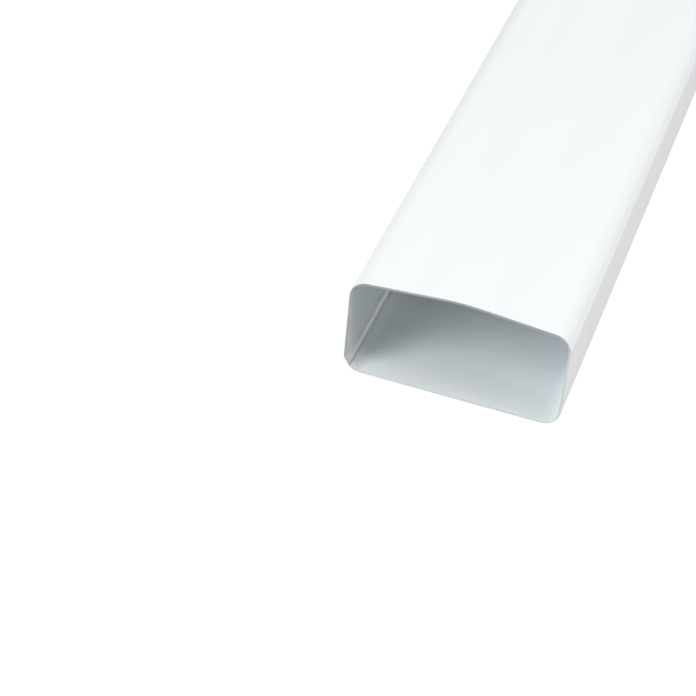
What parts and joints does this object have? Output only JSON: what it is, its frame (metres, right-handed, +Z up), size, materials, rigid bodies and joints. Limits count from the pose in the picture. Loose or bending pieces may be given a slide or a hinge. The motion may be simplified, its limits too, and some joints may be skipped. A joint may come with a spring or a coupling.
{
  "type": "collapsible ventilation duct",
  "caption": "Flat rectangular plastic duct channel, open at both ends, with stiff walls joined by soft lengthwise corner hinges so that it folds flat for storage.",
  "frame": {"origin": "middle of the underside of the bottom wall, halfway along the duct", "axes": "+X across the duct, to the right seen from the front mouth; +Y along the duct, from the front mouth to the rear; +Z up, from the bottom wall to the top wall"},
  "size_m": [0.11, 1, 0.0581],
  "materials": {
    "white_pvc": "white rigid PVC with a soft sheen",
    "soft_hinge_pvc": "white flexible PVC, slightly translucent"
  },
  "bodies": {
    "bottom_wall": {"bottom_wall": "white_pvc", "hinge_strip_lower_left": "soft_hinge_pvc", "hinge_strip_lower_right": "soft_hinge_pvc"},
    "left_wall": {"left_wall": "white_pvc"},
    "right_wall": {"right_wall": "white_pvc"},
    "top_wall": {"top_wall": "white_pvc", "hinge_strip_upper_left": "soft_hinge_pvc", "hinge_strip_upper_right": "soft_hinge_pvc"}
  },
  "joints": [
    {"name": "fold", "type": "hinge", "parent": "bottom_wall", "child": "left_wall", "pos_m": [-0.05254, 0, 0.00389], "axis": [0, -1, 0], "range_deg": [0, 90], "deforming": ["hinge_strip_lower_left"]},
    {"name": "right_fold", "type": "hinge", "parent": "bottom_wall", "child": "right_wall", "pos_m": [0.05179, 0, 0.00321], "axis": [0, -1, 0], "range_deg": [0, 90], "deforming": ["hinge_strip_lower_right"]},
    {"name": "top_fold", "type": "hinge", "parent": "left_wall", "child": "top_wall", "pos_m": [-0.05179, 0, 0.05155], "axis": [0, 1, 0], "range_deg": [0, 90], "deforming": ["hinge_strip_upper_left", "hinge_strip_upper_right"]}
  ],
  "couplings": [
    {"joint": "right_fold", "follows": "fold", "ratio": 1},
    {"joint": "top_fold", "follows": "fold", "ratio": 1}
  ]
}
